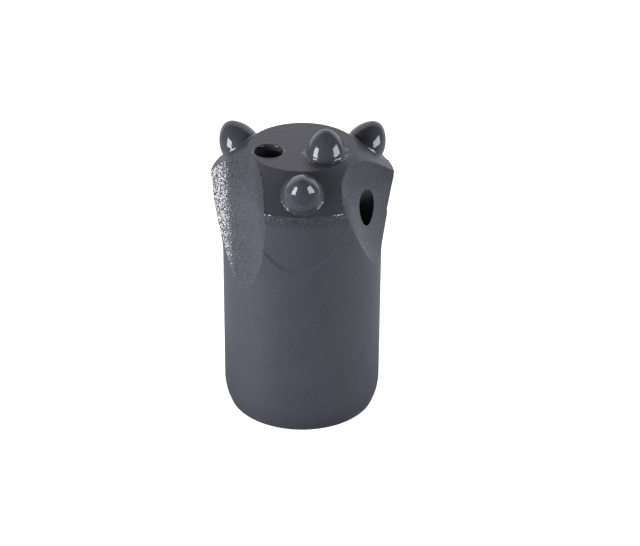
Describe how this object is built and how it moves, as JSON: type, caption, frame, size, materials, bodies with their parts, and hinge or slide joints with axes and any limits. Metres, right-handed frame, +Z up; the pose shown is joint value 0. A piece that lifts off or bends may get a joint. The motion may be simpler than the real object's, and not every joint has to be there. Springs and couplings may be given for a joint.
{
  "type": "tapered button drill bit",
  "caption": "Short rock drill bit with a tapered rod socket, milled flutes, flushing holes and domed carbide buttons, painted dark grey.",
  "frame": {"origin": "centre of the rod socket's mouth, on the plane of the skirt end", "axes": "+Z up the bit's axis towards the cutting face; -Y through the middle of the gauge lobe that carries gauge_button_front; +X to the side with the side flushing hole"},
  "size_m": [0.0378, 0.0361, 0.0645],
  "materials": {
    "body_paint": "dark grey gloss enamel over a fine shot-blasted steel surface",
    "button_paint": "smooth dark grey gloss enamel over ground carbide"
  },
  "bodies": {
    "root": {"bit_body": "body_paint", "face_button": "button_paint", "gauge_button_front": "button_paint", "gauge_button_rear_left": "button_paint", "gauge_button_rear_right": "button_paint"}
  },
  "joints": []
}
